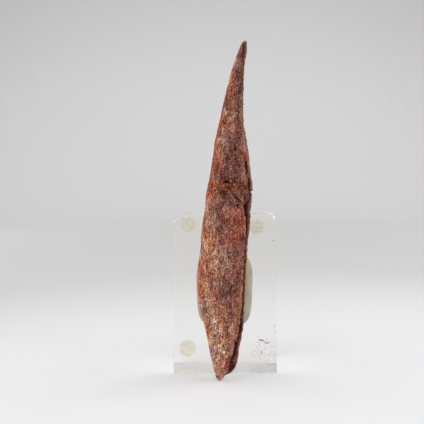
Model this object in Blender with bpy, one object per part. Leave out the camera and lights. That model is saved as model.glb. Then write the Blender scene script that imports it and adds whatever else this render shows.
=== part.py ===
"""A shark's fossil fin spine, held by putty to the face of an upright clear block.

The block stands on its short end, with its wide face towards -Y and what is left of its
rubber feet on its back. The origin is the middle of the block's base, +X is to the right
and +Z is up. All sizes are in metres.
"""

import math

import bmesh
import bpy
import numpy as np

# ---- The clear block ----
BLOCK_WIDTH = 0.0500
BLOCK_DEPTH = 0.0250
BLOCK_HEIGHT = 0.0770
BLOCK_EDGE = 0.0006  # chamfer along every edge of the block

# ---- The domed rubber feet, stuck on the block's back ----
FOOT_RADIUS = 0.0043
FOOT_RIM = 0.0005  # straight side under the dome
FOOT_HEIGHT = 0.0023
FOOT_SEGMENTS = 28
FOOT_RINGS = 5
FEET = {  # middle of each foot, as (x, z)
    "foot_top_left": (-0.0186, 0.0712),
    "foot_top_right": (0.0171, 0.0695),
    "foot_bottom_left": (-0.0192, 0.0076),
}

CONTACT_GAP = 0.0003  # left between pieces that touch

# ---- The putty pad ----
PAD_MIDDLE = (-0.0003, 0.0413)  # (x, z)
PAD_HALF_WIDTH = 0.0135
PAD_HALF_HEIGHT = 0.0180
PAD_SQUARENESS = 3.4  # exponent of the superellipse that bounds it
PAD_TAPER = 0.10  # share by which it is wider at the top and narrower at the bottom
PAD_LEAN = -0.03  # sideways shift for each unit of height
PAD_SWELL = 0.0045  # height that it swells to beside the spine
PAD_LEAST = 0.0012  # thickness that is left where the spine presses deepest
PAD_RINGS = 14
PAD_SPOKES = 44

# ---- The fin spine, seen from the front, as (z, x) ----
SPINE_AXIS_Y = -0.0225  # the spine's middle plane
FRONT_EDGE = [  # rounded leading edge, on the left
    (0.0000, -0.0032),
    (0.0012, -0.0043),
    (0.0040, -0.0050),
    (0.0096, -0.0064),
    (0.0150, -0.0076),
    (0.0209, -0.0086),
    (0.0265, -0.0099),
    (0.0321, -0.0112),
    (0.0378, -0.0123),
    (0.0434, -0.0127),
    (0.0490, -0.0125),
    (0.0546, -0.0123),
    (0.0590, -0.0117),
    (0.0630, -0.0112),
    (0.0687, -0.0109),
    (0.0740, -0.0103),
    (0.0799, -0.0092),
    (0.0855, -0.0088),
    (0.0967, -0.0067),
    (0.1052, -0.0053),
    (0.1108, -0.0046),
    (0.1220, -0.0020),
    (0.1332, 0.0005),
    (0.1445, 0.0034),
    (0.1557, 0.0074),
    (0.1585, 0.0088),
    (0.1590, 0.0094),
]
FLAKE_END = 0.0889  # height where the loose flake of the far wall breaks off
REAR_EDGE = [  # far wall of the rear groove, on the right
    (0.0000, -0.0022),
    (0.0013, -0.0015),
    (0.0021, 0.0000),
    (0.0032, 0.0025),
    (0.0051, 0.0045),
    (0.0105, 0.0060),
    (0.0139, 0.0066),
    (0.0186, 0.0076),
    (0.0256, 0.0087),
    (0.0320, 0.0089),
    (0.0367, 0.0090),
    (0.0510, 0.0101),
    (0.0601, 0.0109),
    (0.0653, 0.0112),
    (0.0714, 0.0120),
    (0.0766, 0.0122),
    (0.0825, 0.0128),
    (0.0869, 0.0132),
    (0.0880, 0.0125),
    (0.0885, 0.0125),
    (0.0889, 0.0136),
    (0.0898, 0.0135),
    (0.0955, 0.0129),
    (0.1009, 0.0121),
    (0.1051, 0.0117),
    (0.1107, 0.0109),
    (0.1163, 0.0100),
    (0.1220, 0.0091),
    (0.1276, 0.0090),
    (0.1320, 0.0092),
    (0.1388, 0.0093),
    (0.1444, 0.0095),
    (0.1500, 0.0101),
    (0.1557, 0.0109),
    (0.1590, 0.0109),
]
NEAR_LIP = [  # near wall of the rear groove, then the near corner of the closed rear
    (0.0000, -0.0024),
    (0.0040, 0.0008),
    (0.0056, 0.0012),
    (0.0121, 0.0029),
    (0.0170, 0.0043),
    (0.0223, 0.0060),
    (0.0250, 0.0064),
    (0.0311, 0.0071),
    (0.0385, 0.0078),
    (0.0437, 0.0081),
    (0.0523, 0.0084),
    (0.0583, 0.0089),
    (0.0662, 0.0094),
    (0.0699, 0.0097),
    (0.0726, 0.0097),
    (0.0754, 0.0099),
    (0.0782, 0.0097),
    (0.0805, 0.0093),
    (0.0823, 0.0091),
    (0.0832, 0.0101),
    (0.0844, 0.0108),
    (0.0860, 0.0114),
    (0.0880, 0.0114),
    (0.0920, 0.0113),
    (0.0948, 0.0114),
    (0.0975, 0.0111),
    (0.1017, 0.0105),
    (0.1110, 0.0094),
    (0.1220, 0.0079),
    (0.1390, 0.0083),
    (0.1500, 0.0094),
    (0.1570, 0.0102),
    (0.1590, 0.0104),
]
HALF_THICKNESS = [  # side to side, (z, half thickness)
    (0.0000, 0.0005),
    (0.0015, 0.0013),
    (0.0040, 0.0022),
    (0.0100, 0.0036),
    (0.0200, 0.0052),
    (0.0320, 0.0065),
    (0.0430, 0.0068),
    (0.0600, 0.0066),
    (0.0800, 0.0063),
    (0.0950, 0.0060),
    (0.1100, 0.0050),
    (0.1250, 0.0038),
    (0.1400, 0.0027),
    (0.1500, 0.0019),
    (0.1570, 0.0013),
    (0.1590, 0.0008),
]
FAR_RIM = [  # width of the far wall that shows past the groove, as (z, width)
    (0.0000, 0.0004),
    (0.0080, 0.0006),
    (0.0166, 0.0007),
    (0.0272, 0.0005),
    (0.0367, 0.0004),
    (0.0510, 0.0006),
    (0.0653, 0.0008),
    (0.0682, 0.0008),
    (0.0766, 0.0009),
    (0.0814, 0.0012),
    (0.0864, 0.0009),
    (0.0892, 0.0010),
    (0.0940, 0.0007),
    (0.0975, 0.0008),
    (0.1020, 0.0010),
    (0.1590, 0.0012),
]
GROOVE_DEPTH = [  # from the near lip to the groove's floor, as (z, depth)
    (0.0000, 0.0002),
    (0.0040, 0.0008),
    (0.0100, 0.0035),
    (0.0250, 0.0060),
    (0.0450, 0.0055),
    (0.0700, 0.0040),
    (0.0860, 0.0036),
    (0.0950, 0.0020),
    (0.1020, 0.0006),
    (0.1590, 0.0000),
]
GROOVE_ENDS = (0.0945, 0.0985)  # the groove fills up between these heights
THICKEST_AT = 0.45  # where a section is thickest, as a share of its length from the front
FRONT_ROUNDNESS = 2.2
REAR_SHARE = 0.66  # thickness at the rear, as a share of the greatest
GROOVE_LIP = 0.68  # where the groove's side starts, as a share of the rear's half width
GROOVE_WALL = 3.0  # exponent: higher makes a flatter floor and steeper sides

# ---- Relief on the side that faces the front ----
PIT_AT = (0.0010, 0.0931)  # (x, z)
PIT_SIZE = (0.0017, 0.0010)  # (half width, half height)
PIT_DEPTH = 0.0011
LEDGE = [(0.0020, 0.0908), (0.0035, 0.0884), (0.0067, 0.0852), (0.0091, 0.0823)]  # (x, z)
LEDGE_RISE = 0.0005
LEDGE_FADE = 0.0120  # distance above the ledge over which it blends back in
LUMP_HEIGHT = 0.00016
LUMPS = [  # slow waves in the bone, as (length along it, length across it, phase)
    (0.0370, 0.0310, 0.4),
    (0.0230, -0.0190, 2.1),
    (0.0141, 0.0117, 4.4),
    (0.0094, -0.0083, 1.3),
]

SPINE_SIDE_STEPS = 14  # faces from the front edge to a lip of the groove
SPINE_SIDE_SPREAD = 1.4  # exponent: higher draws them closer together at the front edge
SPINE_REAR_STEPS = 12  # faces across the rear
SPINE_ROW = 0.0023  # height of a row of faces
SPINE_FINE_ROW = 0.0011  # the same, beside the ledge and the pit
SPINE_FINE_SPAN = (0.0815, 0.0960)
SPINE_END_ROWS = [0.0, 0.0006, 0.0012, 0.0021, 0.0031, 0.0042, 0.0055]
SPINE_TOP = 0.1590


def clear_scene():
    """Remove every object that the scene starts with."""
    for thing in list(bpy.data.objects):
        bpy.data.objects.remove(thing, do_unlink=True)


def finish_material(name, colour, roughness, transmission=0.0, ior=1.5):
    """A Principled material with one colour."""
    material = bpy.data.materials.new(name)
    material.use_nodes = True
    shader = material.node_tree.nodes["Principled BSDF"]
    shader.inputs["Base Color"].default_value = (*colour, 1.0)
    shader.inputs["Roughness"].default_value = roughness
    shader.inputs["Transmission Weight"].default_value = transmission
    shader.inputs["IOR"].default_value = ior
    return material


def add_object(name, mesh, material):
    """Put a mesh in the scene as one named object."""
    thing = bpy.data.objects.new(name, mesh)
    thing.data.materials.append(material)
    bpy.context.scene.collection.objects.link(thing)
    return thing


def curve_through(stations, at):
    """Monotone cubic through (position, value) stations: it never overshoots a station."""
    place, value = np.array(stations).T
    step = np.diff(place)
    slope = np.diff(value) / step
    before, after = slope[:-1], slope[1:]
    bends = before * after > 0
    mean = np.where(bends, 2 * before * after / np.where(bends, before + after, 1), 0)
    tangent = np.concatenate([slope[:1], mean, slope[-1:]])
    i = np.clip(np.searchsorted(place, at, side="right") - 1, 0, len(step) - 1)
    t = np.clip((at - place[i]) / step[i], 0, 1)
    rise = value[i + 1] - value[i]
    start, end = tangent[i] * step[i], tangent[i + 1] * step[i]
    return value[i] + t * (start + t * (3 * rise - 2 * start - end + t * (start + end - 2 * rise)))


def smooth_step(low, high, value):
    """0 below low, 1 above high, and an even S between them."""
    t = np.clip((value - low) / (high - low), 0, 1)
    return t * t * (3 - 2 * t)


def side_shape(share):
    """Half thickness along a section, from 0 at the front edge: a superellipse, then a slow taper."""
    toward_front = np.clip(1 - share / THICKEST_AT, 0, 1)
    toward_rear = np.clip((share - THICKEST_AT) / (1 - THICKEST_AT), 0, 1)
    rounded = (1 - toward_front**FRONT_ROUNDNESS) ** (1 / FRONT_ROUNDNESS)
    return rounded * (1 - (1 - REAR_SHARE) * toward_rear**2)


def lumps(x, z):
    """Slow unevenness of the bone's surface: a sum of sines that run along and across it."""
    waves = [np.sin(2 * math.pi * (z / long + x / wide) + phase) for long, wide, phase in LUMPS]
    return LUMP_HEIGHT * sum(waves)


def front_relief(x, z):
    """Rise of the side that faces the front: the torn edge of the outer layer, and a pit."""
    above = z - np.interp(x, [p[0] for p in LEDGE], [p[1] for p in LEDGE])
    layer = smooth_step(0.0, 0.0006, above) * (1 - smooth_step(0.0, LEDGE_FADE, above))
    layer = layer * smooth_step(LEDGE[0][0] - 0.0025, LEDGE[0][0] + 0.0005, x)
    pit = np.exp(-(((x - PIT_AT[0]) / PIT_SIZE[0]) ** 2) - ((z - PIT_AT[1]) / PIT_SIZE[1]) ** 2)
    return LEDGE_RISE * layer - PIT_DEPTH * pit


def spine_side(share, z, toward_camera):
    """Points of one side of the spine, by share of the way from the front edge to the lip."""
    front = curve_through(FRONT_EDGE, z)
    lip = curve_through(NEAR_LIP if toward_camera else REAR_EDGE, z)
    x = front + (lip - front) * share
    half = curve_through(HALF_THICKNESS, z) * side_shape(share)
    relief = lumps(x, z) * np.minimum(half / 0.004, 1)
    if toward_camera:
        relief = relief + front_relief(x, z) * np.minimum(half / 0.002, 1)
    y = half + relief * smooth_step(0.0, 0.25, share) * (1 - smooth_step(0.85, 1.0, share))
    return x, SPINE_AXIS_Y + (-y if toward_camera else y)


def spine_rear(across, z):
    """Points across the rear, from the near lip at -1 to the far lip at 1.

    Closed, the rear is a quarter of a sine wave between the lips. In the groove, each half
    drops from its lip to the floor as 1 minus a power of the distance from the middle.
    """
    near, far = curve_through(NEAR_LIP, z), curve_through(REAR_EDGE, z)
    floor = near - curve_through(GROOVE_DEPTH, z)
    rim = np.where(across > 0, curve_through(FAR_RIM, z), 0.0)
    lip = np.where(across > 0, far, near)
    bevel = np.clip((1 - np.abs(across)) / (1 - GROOVE_LIP), 0, 1)
    drop = 1 - np.clip(np.abs(across) / GROOVE_LIP, 0, 1) ** GROOVE_WALL
    open_x = lip - rim * bevel - (lip - rim - floor) * drop
    closed_x = near + (far - near) * np.sin(math.pi / 4 * (1 + across))
    closed = smooth_step(*GROOVE_ENDS, z)
    half = curve_through(HALF_THICKNESS, z) * REAR_SHARE
    return open_x + closed * (closed_x - open_x), SPINE_AXIS_Y + half * across


def spine_rows():
    """Heights of the rows of faces: close together at both ends, the ledge and the flake."""
    top = SPINE_TOP - np.array([0.0026, 0.0014, 0.0006, 0.0])
    even = np.arange(SPINE_END_ROWS[-1] + SPINE_ROW, top[0] - SPINE_ROW / 2, SPINE_ROW)
    even = even[(even < SPINE_FINE_SPAN[0]) | (even > SPINE_FINE_SPAN[1])]
    fine = np.arange(SPINE_FINE_SPAN[0], SPINE_FINE_SPAN[1], SPINE_FINE_ROW)
    flake = FLAKE_END + np.array([-0.0013, -0.0006, -0.0004, 0.0])
    fine = fine[(fine < flake[0] - 0.0004) | (fine > flake[-1] + 0.0004)]
    return np.sort(np.concatenate([SPINE_END_ROWS, even, fine, flake, top]))


def make_fin_spine(material):
    """The spine: one closed section for each height, joined row to row, with flat ends."""
    heights = spine_rows()
    share = np.linspace(0, 1, SPINE_SIDE_STEPS + 1) ** SPINE_SIDE_SPREAD
    across = np.linspace(-1, 1, SPINE_REAR_STEPS + 1)[1:-1]
    z_side, u_side = np.meshgrid(heights, share, indexing="ij")
    z_rear, v_rear = np.meshgrid(heights, across, indexing="ij")
    near = spine_side(u_side, z_side, toward_camera=True)
    rear = spine_rear(v_rear, z_rear)
    far = spine_side(u_side[:, :0:-1], z_side[:, :0:-1], toward_camera=False)
    x = np.hstack([near[0], rear[0], far[0]])
    y = np.hstack([near[1], rear[1], far[1]])
    z = np.repeat(heights[:, None], x.shape[1], axis=1)
    points = np.stack([x, y, z], axis=-1).reshape(-1, 3)

    around, rows = x.shape[1], x.shape[0]
    first = np.arange(rows - 1)[:, None] * around + np.arange(around)
    following = np.arange(rows - 1)[:, None] * around + np.roll(np.arange(around), -1)
    walls = np.stack([first, following, following + around, first + around], axis=-1)
    faces = walls.reshape(-1, 4).tolist()
    faces.append(list(range(around))[::-1])
    faces.append(list(range((rows - 1) * around, rows * around)))

    mesh = bpy.data.meshes.new("fin_spine")
    mesh.from_pydata(points.tolist(), [], faces)
    model = bmesh.new()
    model.from_mesh(mesh)
    bmesh.ops.triangulate(model, faces=model.faces[:])
    bmesh.ops.recalc_face_normals(model, faces=model.faces[:])
    model.to_mesh(mesh)
    model.free()
    mesh.shade_smooth()
    return add_object("fin_spine", mesh, material)


def room_behind_spine(x, z):
    """Depth from the block's face to the back of the spine, which is endless beside the spine."""
    front, far = curve_through(FRONT_EDGE, z), curve_through(REAR_EDGE, z)
    share = (x - front) / (far - front)
    _, y = spine_side(np.clip(share, 0, 1), z, toward_camera=False)
    behind = (share > -0.02) & (share < 1.02)
    return np.where(behind, -BLOCK_DEPTH / 2 - y, 1.0)


def make_putty_pad(material):
    """The pad: rings of a superellipse, as thick as a low dome or as the room behind the spine."""
    ring = np.linspace(0, 1, PAD_RINGS + 1)[1:] ** 0.8
    angle = np.linspace(0, 2 * math.pi, PAD_SPOKES, endpoint=False)
    r, a = np.meshgrid(ring, angle, indexing="ij")
    bound = (np.abs(np.cos(a)) ** PAD_SQUARENESS + np.abs(np.sin(a)) ** PAD_SQUARENESS) ** (
        -1 / PAD_SQUARENESS
    )
    up = r * bound * np.sin(a)
    x = PAD_MIDDLE[0] + PAD_HALF_WIDTH * r * bound * np.cos(a) * (1 + PAD_TAPER * up)
    x = x + PAD_LEAN * PAD_HALF_HEIGHT * up
    z = PAD_MIDDLE[1] + PAD_HALF_HEIGHT * up

    def thickness(x, z, r):
        """Dome height, cut back to leave the contact gap to the spine."""
        dome = PAD_SWELL * (1 - 0.93 * r**5) ** 0.5
        return np.clip(dome, PAD_LEAST, np.maximum(room_behind_spine(x, z) - 2 * CONTACT_GAP, PAD_LEAST))

    face_y = -BLOCK_DEPTH / 2 - CONTACT_GAP
    top = np.stack([x, face_y - thickness(x, z, r), z], axis=-1).reshape(-1, 3)
    middle = np.array(PAD_MIDDLE)
    centre_y = face_y - thickness(middle[:1], middle[1:], np.zeros(1))[0]
    rim = np.stack([x[-1], np.full(PAD_SPOKES, face_y), z[-1]], axis=-1)
    points = np.vstack([top, rim, [[middle[0], centre_y, middle[1]]]])

    spokes = np.arange(PAD_SPOKES)
    turned = np.roll(spokes, -1)
    start = np.arange(PAD_RINGS)[:, None] * PAD_SPOKES
    bands = np.stack(
        [start + spokes, start + turned, start + PAD_SPOKES + turned, start + PAD_SPOKES + spokes],
        axis=-1,
    )
    faces = bands.reshape(-1, 4).tolist()
    faces += [[len(points) - 1, b, a] for a, b in zip(spokes.tolist(), turned.tolist())]
    faces.append((PAD_RINGS * PAD_SPOKES + spokes[::-1]).tolist())

    mesh = bpy.data.meshes.new("putty_pad")
    mesh.from_pydata(points.tolist(), [], faces)
    model = bmesh.new()
    model.from_mesh(mesh)
    bmesh.ops.recalc_face_normals(model, faces=model.faces[:])
    model.to_mesh(mesh)
    model.free()
    mesh.shade_smooth()
    return add_object("putty_pad", mesh, material)


def make_foot(name, x, z, material):
    """One rubber foot: a short round side under a dome, turned about Y, with its flat to the block."""
    angles = np.linspace(0, math.pi / 2, FOOT_RINGS + 1)[:-1]
    profile = [(FOOT_RADIUS, 0.0)]
    profile += [
        (FOOT_RADIUS * math.cos(a), FOOT_RIM + (FOOT_HEIGHT - FOOT_RIM) * math.sin(a)) for a in angles
    ]
    base_y = BLOCK_DEPTH / 2 + CONTACT_GAP
    model = bmesh.new()
    rings = []
    for radius, height in profile:
        turn = [2 * math.pi * i / FOOT_SEGMENTS for i in range(FOOT_SEGMENTS)]
        rings.append(
            [
                model.verts.new((x + radius * math.cos(t), base_y + height, z + radius * math.sin(t)))
                for t in turn
            ]
        )
    for low, high in zip(rings, rings[1:]):
        for i in range(FOOT_SEGMENTS):
            j = (i + 1) % FOOT_SEGMENTS
            model.faces.new((low[i], low[j], high[j], high[i]))
    model.faces.new(rings[0][::-1])
    crown = model.verts.new((x, base_y + FOOT_HEIGHT, z))
    for i in range(FOOT_SEGMENTS):
        model.faces.new((rings[-1][i], rings[-1][(i + 1) % FOOT_SEGMENTS], crown))
    bmesh.ops.recalc_face_normals(model, faces=model.faces[:])
    mesh = bpy.data.meshes.new(name)
    model.to_mesh(mesh)
    model.free()
    mesh.shade_smooth()
    mesh.set_sharp_from_angle(angle=math.radians(50))
    return add_object(name, mesh, material)


def make_block(material):
    """The clear block, with a fine chamfer on every edge."""
    model = bmesh.new()
    bmesh.ops.create_cube(model, size=1.0)
    bmesh.ops.scale(model, vec=(BLOCK_WIDTH, BLOCK_DEPTH, BLOCK_HEIGHT), verts=model.verts)
    bmesh.ops.translate(model, vec=(0, 0, BLOCK_HEIGHT / 2), verts=model.verts)
    mesh = bpy.data.meshes.new("acrylic_block")
    model.to_mesh(mesh)
    model.free()
    block = add_object("acrylic_block", mesh, material)
    edge = block.modifiers.new("polished_edge", "BEVEL")
    edge.width = BLOCK_EDGE
    edge.segments = 2
    return block


def main():
    """Build every piece where it stands."""
    clear_scene()
    acrylic = finish_material("clear_acrylic", (0.96, 0.97, 0.96), 0.03, transmission=1.0, ior=1.49)
    rubber = finish_material("clear_rubber", (0.80, 0.78, 0.62), 0.35)
    putty = finish_material("putty", (0.42, 0.41, 0.35), 0.75)
    bone = finish_material("fossil_bone", (0.26, 0.11, 0.07), 0.70)
    make_block(acrylic)
    for name, (x, z) in FEET.items():
        make_foot(name, x, z, rubber)
    make_putty_pad(putty)
    make_fin_spine(bone)


main()
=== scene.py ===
"""A fossil fin spine on its clear block stand, dressed and lit on a pale studio floor.

The block, putty and feet are made things with even finishes, apart from painted highlights on
the block's edges and painted shade at the feet's low rims. The spine is bone turned to stone:
its surface is one grid of points that is carved with fibres, pores, cracks and a torn outer
layer, and stained in patches. Painted shade darkens its pores, cracks and groove, and painted
light and highlights brighten its lower left side and some of its edges.
"""

import logging
import math
from dataclasses import dataclass
from enum import Enum, IntEnum
from itertools import product

import bpy
import numpy as np
from bpy.types import Material, Node, NodeSocket, NodeTree, Object
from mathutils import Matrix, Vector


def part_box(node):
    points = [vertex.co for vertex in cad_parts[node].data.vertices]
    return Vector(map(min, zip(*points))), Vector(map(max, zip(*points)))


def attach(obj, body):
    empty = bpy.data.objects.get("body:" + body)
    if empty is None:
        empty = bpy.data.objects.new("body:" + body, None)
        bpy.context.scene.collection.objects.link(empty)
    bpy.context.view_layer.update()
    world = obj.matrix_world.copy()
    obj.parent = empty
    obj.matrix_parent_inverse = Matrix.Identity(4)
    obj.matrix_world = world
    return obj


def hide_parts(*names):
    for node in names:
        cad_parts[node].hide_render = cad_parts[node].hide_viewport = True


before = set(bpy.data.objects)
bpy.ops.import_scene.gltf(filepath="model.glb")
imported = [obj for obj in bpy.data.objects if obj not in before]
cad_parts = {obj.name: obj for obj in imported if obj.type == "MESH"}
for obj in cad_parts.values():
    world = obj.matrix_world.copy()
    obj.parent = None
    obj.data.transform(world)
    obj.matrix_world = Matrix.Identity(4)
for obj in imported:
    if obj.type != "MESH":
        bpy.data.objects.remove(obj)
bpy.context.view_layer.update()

LOG = logging.getLogger("fin_spine")
MM = 0.001  # metres in a millimetre
Array = np.ndarray
Pair = tuple[float, float]
Triple = tuple[float, float, float]
Colour = tuple[float, float, float, float]
Stations = tuple[Pair, ...]
Rows = tuple[tuple[float, ...], ...]
Source = NodeSocket | float | tuple[float, ...]
Sources = dict[str | int, Source] | tuple[Source, ...]


# ---- Small tools for finishes ----


class Kind(Enum):
    """The shader nodes in use: type name, the output that is wanted, and fixed settings."""

    PLACE = ("ShaderNodeTexCoord", "Object", {})
    MAPPING = ("ShaderNodeMapping", 0, {"vector_type": "TEXTURE"})
    NOISE = ("ShaderNodeTexNoise", 0, {})
    ATTRIBUTE = ("ShaderNodeAttribute", "Fac", {})
    AXES = ("ShaderNodeSeparateXYZ", 0, {})
    LENGTH = ("ShaderNodeVectorMath", "Value", {"operation": "LENGTH"})
    ADD = ("ShaderNodeMath", 0, {"operation": "ADD"})
    MULTIPLY = ("ShaderNodeMath", 0, {"operation": "MULTIPLY"})
    MULTIPLY_ADD = ("ShaderNodeMath", 0, {"operation": "MULTIPLY_ADD"})
    # inputs: the value, its range from and to, and the range that it is mapped to
    RANGE = ("ShaderNodeMapRange", 0, {"interpolation_type": "SMOOTHSTEP"})
    TONES = ("ShaderNodeValToRGB", 0, {})
    # inputs 0, 6 and 7: the share of the second colour, and the two colours
    MIX = ("ShaderNodeMix", 2, {"data_type": "RGBA"})
    TINT = ("ShaderNodeMix", 2, {"data_type": "RGBA", "blend_type": "MULTIPLY"})
    BUMP = ("ShaderNodeBump", 0, {})


def linear(code: str) -> Colour:
    """Turn an sRGB hex code into linear light.

    Args:
        code: Six hex digits after a #.

    Returns:
        Red, green, blue and a full alpha.
    """
    parts = [int(code[i : i + 2], 16) / 255 for i in (1, 3, 5)]
    light = [c / 12.92 if c <= 0.04045 else ((c + 0.055) / 1.055) ** 2.4 for c in parts]
    return (light[0], light[1], light[2], 1.0)


def feed(node: Node, sources: Sources) -> None:
    """Give a node's inputs their links and plain values.

    Args:
        node: The node.
        sources: For each input, another node's socket or a plain value. A dict goes by the
            inputs' names or numbers, and a tuple by their order.
    """
    for name, value in sources.items() if isinstance(sources, dict) else enumerate(sources):
        if isinstance(value, NodeSocket):
            node.id_data.links.new(value, node.inputs[name])
        else:
            node.inputs[name].default_value = value


def add_node(tree: NodeTree, kind: Kind, sources: Sources = (), **settings: str) -> NodeSocket:
    """Add one shader node.

    Args:
        tree: The node tree that gets it.
        kind: The kind of node.
        sources: What goes into its inputs, as for feed.
        **settings: The node's own properties, beside its kind's fixed ones.

    Returns:
        The output that its kind names.
    """
    type_name, wanted, fixed = kind.value
    node = tree.nodes.new(type_name)
    for name, value in {**fixed, **settings}.items():
        setattr(node, name, value)
    feed(node, sources)
    return node.outputs[wanted]


@dataclass(frozen=True)
class Mottle:
    """A pattern of lumps that have a real size, read from Object coordinates."""

    size_mm: Triple  # of a lump, along X, Y and Z
    octaves: float = 3.0
    shift: float = 0.0  # in tenths of a metre
    lean: float = 0.0  # how far the lumps' Z leans toward +X, in degrees
    weight: float = 1.0  # for where patterns are added up

    def draw(self, tree: NodeTree) -> NodeSocket:
        """Add the pattern.

        Args:
            tree: The node tree that gets it.

        Returns:
            Its value's socket.
        """
        cells = {
            "Vector": add_node(tree, Kind.PLACE),
            "Location": (self.shift / 10, self.shift / 10, self.shift / 10),
            "Rotation": (0.0, math.radians(self.lean), 0.0),
            "Scale": tuple(size * MM for size in self.size_mm),
        }
        point = add_node(tree, Kind.MAPPING, cells)
        sources = {"Vector": point, "Scale": 1.0, "Detail": self.octaves, "Roughness": 0.55}
        return add_node(tree, Kind.NOISE, sources)


# ---- Small tools for shapes ----


def smooth_step(low: float, high: float, value: Array) -> Array:
    """0 below low, 1 above high, and an even S between them."""
    t = np.clip((value - low) / (high - low), 0, 1)
    return t * t * (3 - 2 * t)


def between(value: Array, start: Pair, end: Pair) -> Array:
    """1 between two bands, fading to 0 over each of them."""
    return smooth_step(*start, value) * (1 - smooth_step(*end, value))


def bell(value: Array, width: float) -> Array:
    """1 at 0, falling off to both sides as a Gaussian of this width."""
    return np.exp(-((value / width) ** 2))


def curve_through(stations: Stations, at: Array) -> Array:
    """Read a monotone cubic curve, which never overshoots its stations.

    Args:
        stations: (position, value) pairs in millimetres.
        at: Positions to read, in metres.

    Returns:
        The values there, in metres.
    """
    place, value = MM * np.array(stations).T
    step = np.diff(place)
    slope = np.diff(value) / step
    before, after = slope[:-1], slope[1:]
    bends = before * after > 0
    mean = np.where(bends, 2 * before * after / np.where(bends, before + after, 1), 0)
    tangent = np.concatenate([slope[:1], mean, slope[-1:]])
    i = np.clip(np.searchsorted(place, at, side="right") - 1, 0, len(step) - 1)
    t = np.clip((at - place[i]) / step[i], 0, 1)
    rise = value[i + 1] - value[i]
    start, end = tangent[i] * step[i], tangent[i + 1] * step[i]
    return value[i] + t * (start + t * (3 * rise - 2 * start - end + t * (start + end - 2 * rise)))


class Seed(IntEnum):
    """Which noise each use of it reads, so that no two are alike."""

    LIP_CHIPS = 11
    LIP_NICKS = 12
    BUNDLES = 21
    STRANDS = 22
    SWELL = 23
    PORES = 31  # the first of four
    LEDGE = 41
    LEDGE_NICKS = 42
    SLOT = 43
    CRACKS = 44
    STAIN_EDGES = 51
    STAIN_NICKS = 52
    STAIN_CLOUDS = 60  # the first of six
    PUTTY_DENTS = 71
    PUTTY_NICKS = 72
    MARKS = 81


def hashed(cells: Array, seed: int) -> Array:
    """Even random numbers for whole-number cells: large primes times the cell, mixed by shifts.

    Args:
        cells: Whole numbers, three to a cell.
        seed: Picks one set of numbers.

    Returns:
        Numbers from 0 to 1.
    """
    mask = 0xFFFFFFFF
    mixed = (cells @ np.array([374761393, 668265263, 1440662683]) + seed * 974634777) & mask
    mixed = ((mixed ^ (mixed >> 13)) * 1274126177) & mask
    return (mixed ^ (mixed >> 16)) / mask


def lumpy(points: Array, seed: int) -> Array:
    """Value noise: random numbers at whole-number corners, blended between them by a quintic.

    Args:
        points: Places, in cells.
        seed: Picks one noise.

    Returns:
        Numbers from -1 to 1.
    """
    corner = np.floor(points).astype(np.int64)
    part = points - corner
    fade = part**3 * (part * (part * 6 - 15) + 10)
    total = np.zeros(points.shape[:-1])
    for step in product((0, 1), repeat=3):
        weight = np.prod(np.where(np.array(step) == 1, fade, 1 - fade), axis=-1)
        total += weight * hashed(corner + np.array(step), seed)
    return 2 * total - 1


def pores(points: Array, seed: int) -> tuple[Array, Array]:
    """Cellular noise: the distance to the nearest of one random point in each cell.

    Args:
        points: Places, in cells.
        seed: Picks one noise.

    Returns:
        The distance in cells, and a random number from 0 to 1 that belongs to that point.
    """
    home = np.floor(points).astype(np.int64)
    nearest = np.full(points.shape[:-1], 9.0)
    lot = np.zeros(points.shape[:-1])
    for step in product((-1, 0, 1), repeat=3):
        cell = home + np.array(step)
        seat = cell + np.stack([hashed(cell, seed + i) for i in range(3)], axis=-1)
        distance = np.linalg.norm(points - seat, axis=-1)
        closer = distance < nearest
        nearest = np.where(closer, distance, nearest)
        lot = np.where(closer, hashed(cell, seed + 3), lot)
    return nearest, lot


def grid_faces(rows: int, columns: int, closed: bool) -> Array:
    """Quads of a grid of points that is stored row by row.

    Args:
        rows: Points along the grid.
        columns: Points across it.
        closed: Whether the last column joins the first.

    Returns:
        Four point numbers for each quad.
    """
    across = np.arange(columns if closed else columns - 1)
    onward = (across + 1) % columns
    start = np.arange(rows - 1)[:, None] * columns
    quads = [start + across, start + onward, start + columns + onward, start + columns + across]
    return np.stack(quads, axis=-1).reshape(-1, 4)


def mesh_object(name: str, vertices: Array, faces: list[list[int]], material: Material) -> Object:
    """Make a smooth-shaded mesh object at the origin.

    Args:
        name: The object's name.
        vertices: Its points.
        faces: The point numbers of each face.
        material: Its finish.

    Returns:
        The new object.
    """
    mesh = bpy.data.meshes.new(name)
    mesh.from_pydata(vertices, [], faces)
    mesh.shade_smooth()
    mesh.materials.append(material)
    piece = bpy.data.objects.new(name, mesh)
    bpy.context.scene.collection.objects.link(piece)
    return piece


def closed_bodies(name: str, shells: list[Array], material: Material) -> Object:
    """Make closed bodies from rings of points, each end shut by a fan to its middle.

    Args:
        name: The piece's name.
        shells: For each body, rings by points around by coordinates. Seen from outside, the
            rings run clockwise about the way in which they follow each other.
        material: The piece's finish.

    Returns:
        The new object, at the origin.
    """
    vertices, faces, first = [], [], 0
    for points in shells:
        rings, around = points.shape[:2]
        near = np.arange(around)
        onward = (near + 1) % around
        last, hub = (rings - 1) * around, rings * around
        start_fan = np.stack([onward, near, np.full(around, hub)], axis=-1)
        end_fan = np.stack([last + near, last + onward, np.full(around, hub + 1)], axis=-1)
        quads = grid_faces(rings, around, closed=True)
        faces += (quads + first).tolist() + (start_fan + first).tolist() + (end_fan + first).tolist()
        vertices += [points.reshape(-1, 3), points[[0, -1]].mean(axis=1)]
        first += hub + 2
    return mesh_object(name, np.vstack(vertices), faces, material)


def set_numbers(piece: Object, name: str, values: Array) -> None:
    """Store one number for each point of a mesh, for its material to read.

    Args:
        piece: The mesh object.
        name: The attribute's name.
        values: A number for each grid point. The hubs of the end fans get 0.
    """
    filled = np.zeros(len(piece.data.vertices), np.float32)
    filled[: values.size] = values.ravel()
    piece.data.attributes.new(name, "FLOAT", "POINT").data.foreach_set("value", filled)


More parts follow.
